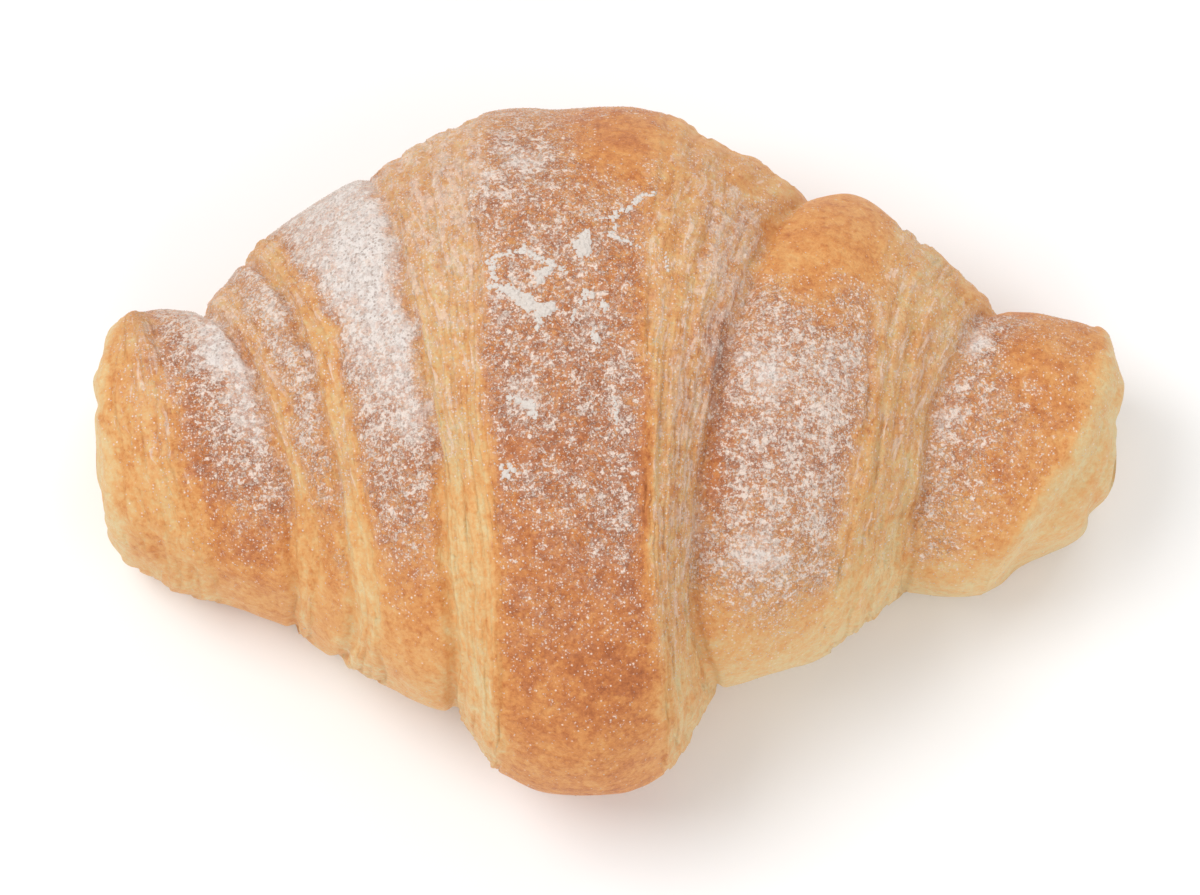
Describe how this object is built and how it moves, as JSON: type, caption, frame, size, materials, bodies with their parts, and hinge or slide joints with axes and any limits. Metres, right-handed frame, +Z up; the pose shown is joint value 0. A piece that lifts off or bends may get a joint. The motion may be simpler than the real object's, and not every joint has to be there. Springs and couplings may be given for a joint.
{
  "type": "cream-filled croissant",
  "caption": "Plump closed croissant rolled from layered dough, with stepped wraps, leafy slopes between them and a short rounded tongue at the front.",
  "frame": {"origin": "on the surface it rests on, under the middle of the croissant's length and depth", "axes": "+X along the roll from its left tip to its right tip, -Y towards the side with the tongue, +Z up"},
  "size_m": [0.1402, 0.0944, 0.0532],
  "materials": {
    "browned_crust": "baked, browned crust dusted with icing sugar"
  },
  "bodies": {
    "root": {"croissant": "browned_crust"}
  },
  "joints": []
}
